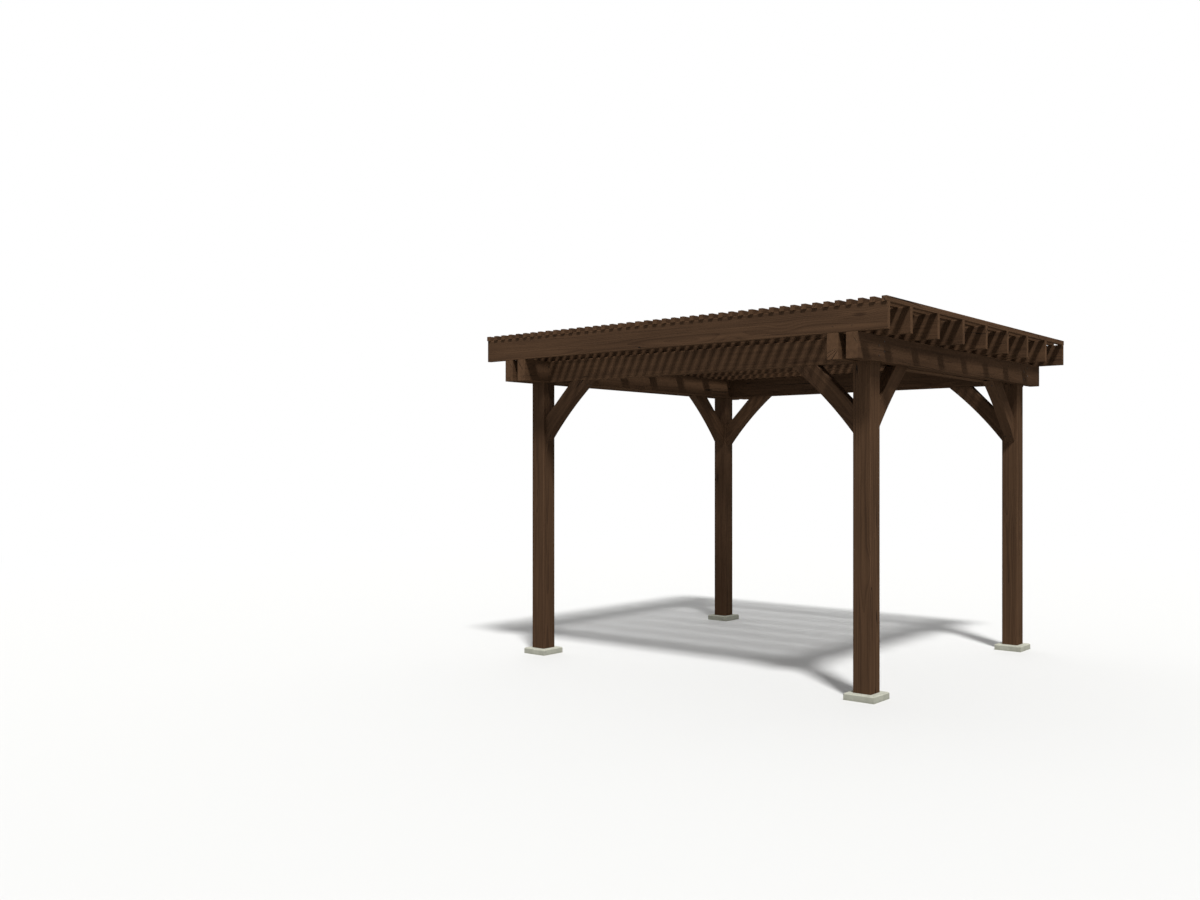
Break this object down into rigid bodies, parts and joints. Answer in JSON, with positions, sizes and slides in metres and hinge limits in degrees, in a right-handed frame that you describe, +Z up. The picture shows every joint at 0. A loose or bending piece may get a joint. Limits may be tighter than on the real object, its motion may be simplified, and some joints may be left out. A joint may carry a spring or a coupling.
{
  "type": "wooden pergola",
  "caption": "Free-standing timber pergola: notched posts on concrete pads carry double beams, knee braces, rafters and a slatted shade top.",
  "frame": {"origin": "on the ground, under the centre of the roof and of the four posts", "axes": "+Z up; X along the rafters and the cross beams, Y along the side beams and the slats; -Y is the front"},
  "size_m": [3.861, 3.555, 2.811],
  "materials": {
    "stained_timber": "satin",
    "concrete": "matte"
  },
  "bodies": {
    "root": {"pad_front_left": "concrete", "pad_front_right": "concrete", "pad_back_left": "concrete", "pad_back_right": "concrete", "post_front_left": "stained_timber", "post_front_right": "stained_timber", "post_back_left": "stained_timber", "post_back_right": "stained_timber", "beam_left_outer": "stained_timber", "beam_left_inner": "stained_timber", "beam_right_outer": "stained_timber", "beam_right_inner": "stained_timber", "cross_beam_front": "stained_timber", "cross_beam_back": "stained_timber", "brace_front_left_cross": "stained_timber", "brace_front_left_beam": "stained_timber", "brace_front_right_cross": "stained_timber", "brace_front_right_beam": "stained_timber", "brace_back_left_cross": "stained_timber", "brace_back_left_beam": "stained_timber", "brace_back_right_cross": "stained_timber", "brace_back_right_beam": "stained_timber", "rafter_1": "stained_timber", "rafter_2": "stained_timber", "rafter_3": "stained_timber", "rafter_4": "stained_timber", "rafter_5": "stained_timber", "rafter_6": "stained_timber", "rafter_7": "stained_timber", "rafter_8": "stained_timber", "rafter_9": "stained_timber", "slats_1": "stained_timber", "slats_2": "stained_timber", "slats_3": "stained_timber", "slats_4": "stained_timber"}
  },
  "joints": []
}
